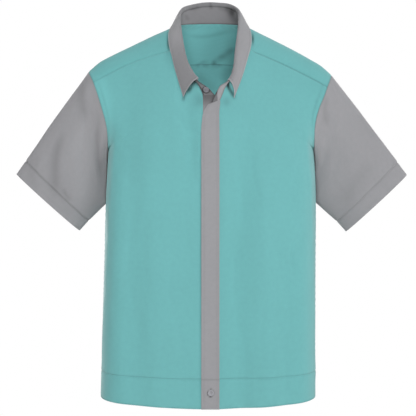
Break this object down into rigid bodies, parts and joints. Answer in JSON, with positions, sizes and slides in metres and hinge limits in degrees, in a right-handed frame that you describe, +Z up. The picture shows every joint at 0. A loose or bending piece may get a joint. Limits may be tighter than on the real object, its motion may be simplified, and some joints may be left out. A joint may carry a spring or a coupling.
{
  "type": "short-sleeved button-front shirt",
  "caption": "Short-sleeved woven shirt, hollow as worn, with a covered front placket, a turned-down collar and contrasting sleeves.",
  "frame": {"origin": "middle of the neck at the height of the neck points of the shoulders, where the wearer holds the shirt up", "axes": "+Z up along the wearer's spine, -Y out of the front, +X towards the wearer's left sleeve"},
  "size_m": [0.7795, 0.2425, 0.8075],
  "materials": {
    "body_cloth": "matt woven cloth, teal",
    "trim_cloth": "matt woven cloth, grey",
    "button_plastic": "moulded plastic, grey, low gloss"
  },
  "bodies": {
    "root": {"front_right": "body_cloth", "front_left": "body_cloth", "back": "body_cloth", "yoke": "body_cloth", "hem_band_front_right": "body_cloth", "hem_band_front_left": "body_cloth", "hem_band_back": "body_cloth", "sleeve_right": "trim_cloth", "sleeve_left": "trim_cloth", "sleeve_hem_right": "trim_cloth", "sleeve_hem_left": "trim_cloth", "placket": "trim_cloth", "under_placket": "trim_cloth", "hem_tab": "trim_cloth", "collar_stand": "trim_cloth", "collar_leaf": "trim_cloth", "hem_button": "button_plastic", "stand_button": "button_plastic"}
  },
  "joints": []
}
